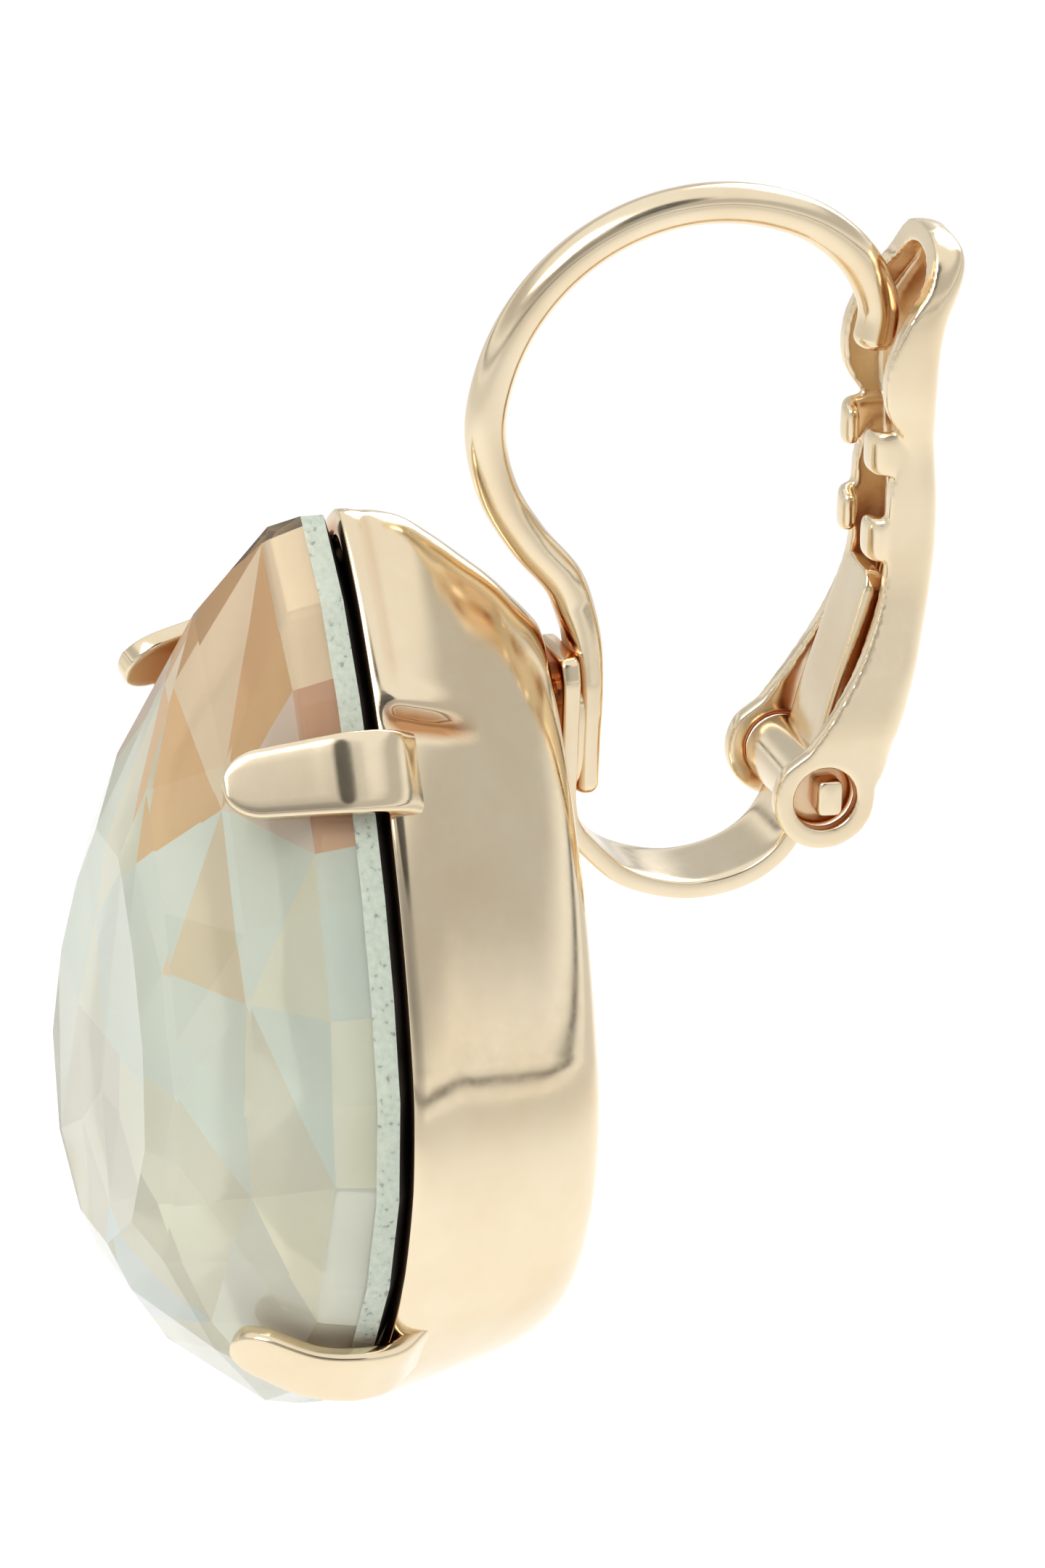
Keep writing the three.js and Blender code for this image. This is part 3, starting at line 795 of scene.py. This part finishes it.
def faceted(name, tiers, seed, merge):
    """A convex cut stone over rings of points, with a tint to each facet. Facets that differ by
    less than `merge` degrees become one."""
    radius = CUP_RADIUS - STONE_INSET
    tip = CUP_TIP - 1.5 * STONE_INSET
    points = []
    for scale, y, count, turn in tiers:
        ring = even_points(pear(radius * scale, tip * scale), count, turn)
        points.extend((px, y, pz) for px, pz in ring)
    mesh = bpy.data.meshes.new(name)
    bm = bmesh.new()
    for p in place(points):
        bm.verts.new(p)
    bmesh.ops.convex_hull(bm, input=bm.verts)
    for loose in [v for v in bm.verts if not v.link_faces]:
        bm.verts.remove(loose)
    bmesh.ops.dissolve_limit(bm, angle_limit=math.radians(merge), verts=bm.verts, edges=bm.edges)
    bmesh.ops.recalc_face_normals(bm, faces=bm.faces)
    tint = bm.loops.layers.float_color.new("facet_tint")
    rng = random.Random(seed)
    for face in sorted(bm.faces, key=lambda f: tuple(round(c, 7) for c in f.calc_center_median())):
        colour = facet_tint(np.array(face.calc_center_median()) / MM + ROW_ORIGIN, rng)
        for loop in face.loops:
            loop[tint] = (*colour, 1)
    bm.to_mesh(mesh)
    bm.free()
    piece = bpy.data.objects.new(name, mesh)
    bpy.context.scene.collection.objects.link(piece)
    return piece


def crown_y(height):
    return -STONE_LIFT - GIRDLE - CROWN_HEIGHT * height


def stone():
    crown = [(scale, crown_y(h), count, turn) for scale, h, count, turn in CROWN_TIERS]
    pavilion = [
        (scale, -STONE_LIFT + PAVILION_DEPTH * h, count, turn)
        for scale, h, count, turn in PAVILION_TIERS
    ]
    piece = faceted("stone_crystal", crown + pavilion, seed=11, merge=4)
    finish_piece(piece, [crown_glass, girdle_frost, lacquer], "setting", "stone")
    girdle_back = place([(0, -STONE_LIFT, 0)])[0][1]
    girdle_front = place([(0, -STONE_LIFT - GIRDLE, 0)])[0][1]
    for face in piece.data.polygons:
        if face.center.y > girdle_back + 1e-6:
            face.material_index = 2
        elif face.center.y > girdle_front - 1e-6:
            face.material_index = 1
    core = [(scale, crown_y(h), count, turn) for scale, h, count, turn in CORE_TIERS]
    piece = faceted("stone_foil", core, seed=5, merge=1)
    finish_piece(piece, [foil], "setting", "stone")


# Lever

# From the hinge: (height, half width, back), in shares of LEVER_LENGTH, half of EAR_WIDTH and
# LEVER_LENGTH.
LEVER_SECTIONS = [
    (-0.106, 1, 0.114),
    (0.072, 1, 0.125),
    (0.116, 1, 0.142),
    (0.202, 0.94, 0.167),
    (0.28, 0.85, 0.184),
    (0.366, 0.77, 0.199),
    (0.443, 0.75, 0.206),
    (0.53, 0.75, 0.205),
    (0.626, 0.75, 0.197),
    (0.675, 0.82, 0.194),
    (0.732, 0.89, 0.192),
    (0.8, 0.91, 0.194),
    (0.858, 0.9, 0.204),
    (0.906, 0.84, 0.226),
    (0.94, 0.75, 0.24),
    (0.968, 0.64, 0.243),
    (0.986, 0.5, 0.236),
    (0.996, 0.32, 0.222),
    (1, 0.16, 0.205),
]
# From the hinge: (Y, Z) in shares of LEVER_LENGTH.
FRONT_EDGE = [
    (-0.033, 0.086),
    (-0.007, 0.121),
    (0.03, 0.179),
    (0.056, 0.226),
    (0.08, 0.281),
    (0.1, 0.344),
    (0.107, 0.389),
    (0.113, 0.561),
    (0.142, 0.63),
    (0.121, 0.66),
    (0.092, 0.706),
    (0.087, 0.76),
    (0.095, 0.806),
    (0.134, 0.881),
    (0.165, 0.923),
    (0.19, 1.01),
]
LEVER_FRONT = -0.11 * LEVER_LENGTH
EDGE_ROUNDING = 0.45
LEAST_ROUNDING = 0.1
CUTTER_HALF_WIDTH = 2.2
VOXEL = 0.042 * MM
SOFTEN_STEPS = 12


def lever_block(wall):
    """The block that the lever is cut from, or, with a wall, the room inside it."""
    edge = max(EDGE_ROUNDING - wall, LEAST_ROUNDING)
    rings = []
    for up, half, back in smooth_rows(LEVER_SECTIONS, 80):
        x = max(half * EAR_WIDTH / 2 - wall, 0.3 * half)
        y = back * LEVER_LENGTH - wall
        turn = min(edge, 0.6 * x)
        corner = [
            (x - turn + turn * math.cos(a), y - turn + turn * math.sin(a))
            for a in np.linspace(0, math.pi / 2, 7)
        ]
        outline = [(-x, LEVER_FRONT), (x, LEVER_FRONT), *corner]
        outline += [(-px, py) for px, py in reversed(corner)]
        z = HINGE_Z + up * (LEVER_LENGTH - wall)
        rings.append([(px, HINGE_Y + py, z) for px, py in outline])
    return new_object("lever_block", *loft(np.array(rings)))


def prism(outline, x0, x1):
    """A solid between two planes of X whose outline in Y and Z is measured from the hinge."""
    count = len(outline)
    points = [(x, HINGE_Y + y, HINGE_Z + z) for x in (x0, x1) for y, z in outline]
    faces = [tuple(range(count)), tuple(range(2 * count - 1, count - 1, -1))]
    for i in range(count):
        j = (i + 1) % count
        faces.append((i, i + count, j + count, j))
    return new_object("prism", points, faces)


def block(low, high):
    outline = [(low[1], low[2]), (high[1], low[2]), (high[1], high[2]), (low[1], high[2])]
    return prism(outline, low[0], high[0])


def lever_outline():
    ear = [
        (EAR_RADIUS * math.cos(a), EAR_RADIUS * math.sin(a))
        for a in np.radians(np.linspace(8, -220, 40))
    ]
    front = [tuple(LEVER_LENGTH * p) for p in smooth_rows(FRONT_EDGE, 70)]
    behind = 0.3 * LEVER_LENGTH
    rest = [(behind, 1.01 * LEVER_LENGTH), (behind, WEB_FOOT), (1.5 * EAR_RADIUS, WEB_FOOT)]
    return ear + front + rest + [(1.2 * EAR_RADIUS, 0.45 * EAR_RADIUS)]


def combine(target, tool, operation):
    modifier = target.modifiers.new("cut", "BOOLEAN")
    modifier.operation = operation
    modifier.solver = "EXACT"
    modifier.object = tool
    apply_modifiers(target)
    bpy.data.objects.remove(tool)


def apply_modifiers(target):
    bpy.context.view_layer.update()
    graph = bpy.context.evaluated_depsgraph_get()
    mesh = bpy.data.meshes.new_from_object(target.evaluated_get(graph))
    target.modifiers.clear()
    target.data = mesh


def nib(foot, mirror):
    """A tab at the edge of the lever's side, folded in over the spring."""
    half = LEVER_WAIST * EAR_WIDTH / 2
    middle = HINGE_Z + foot * LEVER_LENGTH + NIB_HEIGHT / 2
    x = mirror * (half - LEVER_WALL / 2)
    tip = mirror * 0.38 * half
    front = HINGE_Y + 0.075 * LEVER_LENGTH + 0.4 * LEVER_WALL
    route = [
        (x, HINGE_Y + 0.17 * LEVER_LENGTH, middle),
        (x, front + 0.35, middle),
        (x - mirror * 0.08, front + 0.08, middle),
        (x - mirror * 0.36, front, middle),
        (tip, front + 0.06, middle),
    ]
    shape = bar(
        route,
        (0, 0, 1),
        lambda share: (NIB_HEIGHT * (1 - 0.25 * share**2), LEVER_WALL * 0.85, 4),
        steps=24,
        sides=24,
        end_round=0.14,
    )
    return new_object("nib", *shape)


def lever():
    """The stamped channel: a block cut to its outline and hollowed, with nibs and hinge holes,
    then remeshed and smoothed so that its edges are round."""
    inner = EAR_WIDTH / 2 - LEVER_WALL
    body = lever_block(0)
    body.name = "lever_channel"
    combine(body, prism(lever_outline(), -CUTTER_HALF_WIDTH, CUTTER_HALF_WIDTH), "INTERSECT")
    channel = lever_block(LEVER_WALL)
    combine(channel, block((-9, -9, -3), (9, 9, 0.99 * WEB_FOOT)), "DIFFERENCE")
    combine(body, channel, "DIFFERENCE")
    combine(body, block((-inner, -3, -3), (inner, 3, WEB_FOOT)), "DIFFERENCE")
    for foot in NIB_FEET:
        for mirror in (1, -1):
            combine(body, nib(foot, mirror), "UNION")
    hole = [
        (HINGE_HOLE_RADIUS * math.cos(a), HINGE_HOLE_RADIUS * math.sin(a))
        for a in np.linspace(0, 2 * math.pi, 48, endpoint=False)
    ]
    combine(body, prism(hole, -CUTTER_HALF_WIDTH, CUTTER_HALF_WIDTH), "DIFFERENCE")
    remesh = body.modifiers.new("skin", "REMESH")
    remesh.mode = "VOXEL"
    remesh.voxel_size = VOXEL
    soften = body.modifiers.new("soften", "SMOOTH")
    soften.factor = 0.5
    soften.iterations = SOFTEN_STEPS
    apply_modifiers(body)
    body.data.polygons.foreach_set("use_smooth", [True] * len(body.data.polygons))
    body.data.materials.clear()
    finish_piece(body, [gold_lever], "lever", "lever")


cup()
prongs()
ear_wire()
strip()
solder()
stone()
lever()


# Studio

AZIMUTH = math.radians(72.5)
ELEVATION = math.radians(20)
ROLL = math.radians(2.14)
VIEW = Vector(
    (
        math.sin(AZIMUTH) * math.cos(ELEVATION),
        -math.cos(AZIMUTH) * math.cos(ELEVATION),
        math.sin(ELEVATION),
    )
)
FRAME_HEIGHT = 0.0298
CAMERA_DISTANCE = 0.7
SENSOR_HEIGHT = 36.0
FLOOR_DROP = 0.05
FLOOR_HALF = 4
WORLD_STRENGTH = 0.95
BOOM_DIRECTION = (0.7, 0.02, 0.71)
LIGHT_AIM = (0, 0, -0.01)


def add_camera(target):
    data = bpy.data.cameras.new("camera")
    data.sensor_fit = "VERTICAL"
    data.sensor_height = SENSOR_HEIGHT
    data.lens = SENSOR_HEIGHT * CAMERA_DISTANCE / FRAME_HEIGHT
    data.clip_start = 0.01
    data.clip_end = 20
    camera = bpy.data.objects.new("camera", data)
    bpy.context.scene.collection.objects.link(camera)
    camera.location = target + VIEW * CAMERA_DISTANCE
    turn = (-VIEW).to_track_quat("-Z", "Y")
    camera.rotation_euler = (turn.to_matrix() @ Matrix.Rotation(ROLL, 3, "Z")).to_euler()
    bpy.context.scene.camera = camera


def softbox(name, place_at, aim, size, power, colour):
    data = bpy.data.lights.new(name, "AREA")
    data.shape = "RECTANGLE"
    data.size, data.size_y = size
    data.energy = power
    data.color = colour
    light = bpy.data.objects.new(name, data)
    bpy.context.scene.collection.objects.link(light)
    light.location = place_at
    light.rotation_euler = (Vector(aim) - Vector(place_at)).to_track_quat("-Z", "Y").to_euler()


def add_floor(height):
    mesh = bpy.data.meshes.new("floor")
    corners = [
        (x * FLOOR_HALF, y * FLOOR_HALF, height) for x, y in ((-1, -1), (1, -1), (1, 1), (-1, 1))
    ]
    mesh.from_pydata(corners, [], [(0, 1, 2, 3)])
    floor = bpy.data.objects.new("floor", mesh)
    bpy.context.scene.collection.objects.link(floor)
    material, node, link = new_material("floor_paper")
    shader = node("ShaderNodeBsdfPrincipled", Roughness=0.9)
    shader.inputs["Base Color"].default_value = (0.93, 0.93, 0.925, 1)
    out = node("ShaderNodeOutputMaterial")
    link(shader.outputs[0], out.inputs[0])
    mesh.materials.append(material)


def add_world():
    """A pale tent: greyer walls, a thin dark seam just above the horizon, a darker area on the
    side of the photo's camera, and one dark spot, which the upper prong's bend reflects."""
    world = bpy.data.worlds.new("studio")
    bpy.context.scene.world = world
    world.use_nodes = True
    node, link = node_maker(world)
    coords = node("ShaderNodeTexCoord")

    def by_direction(axis, stops):
        toward = node("ShaderNodeVectorMath", operation="DOT_PRODUCT")
        toward.inputs[1].default_value = axis
        link(coords.outputs["Generated"], toward.inputs[0])
        spread = node("ShaderNodeMapRange")
        spread.inputs["From Min"].default_value = -1
        link(toward.outputs["Value"], spread.inputs["Value"])
        return ramp(node, [(at, (v, v, v)) for at, v in stops], spread.outputs["Result"], link)

    # Each stop: how far a direction lies along the axis, from 0 behind to 1 ahead, and how
    # bright the tent is there.
    height = [
        (0.53, 1.0),
        (0.542, 0.12),
        (0.556, 0.12),
        (0.572, 1.0),
        (0.61, 1.0),
        (0.67, 0.6),
        (0.77, 0.6),
        (0.83, 1.0),
    ]
    lens = [(0.0, 1.0), (0.93, 1.0), (0.97, 0.75), (1.0, 0.55)]
    boom = [(0.0, 1.0), (0.983, 1.0), (0.987, 0.14), (1.0, 0.14)]
    walls = by_direction((0, 0, 1), height)
    colour = walls.outputs["Color"]
    for dark in (by_direction(VIEW, lens), by_direction(BOOM_DIRECTION, boom)):
        shade = node("ShaderNodeMix", data_type="RGBA", blend_type="MULTIPLY")
        shade.inputs["Factor"].default_value = 1.0
        link(colour, shade.inputs[6])
        link(dark.outputs["Color"], shade.inputs[7])
        colour = shade.outputs[2]
    background = node("ShaderNodeBackground")
    background.inputs["Strength"].default_value = WORLD_STRENGTH
    link(colour, background.inputs["Color"])
    out = node("ShaderNodeOutputWorld")
    link(background.outputs[0], out.inputs[0])


low, high = (Vector(corner) for corner in cad_box)
middle = (low + high) / 2
add_camera(middle)
add_floor(low.z - FLOOR_DROP)
add_world()
softbox(
    "key",
    place_at=(0.12, -0.16, 0.22),
    aim=LIGHT_AIM,
    size=(0.16, 0.16),
    power=0.35,
    colour=(1, 0.99, 0.97),
)
softbox(
    "rim",
    place_at=(-0.16, 0.14, 0.14),
    aim=LIGHT_AIM,
    size=(0.14, 0.2),
    power=0.25,
    colour=(1, 1, 1),
)

scene = bpy.context.scene
scene.view_settings.view_transform = "Standard"
scene.cycles.max_bounces = 16
scene.cycles.glossy_bounces = 10
scene.cycles.transmission_bounces = 14
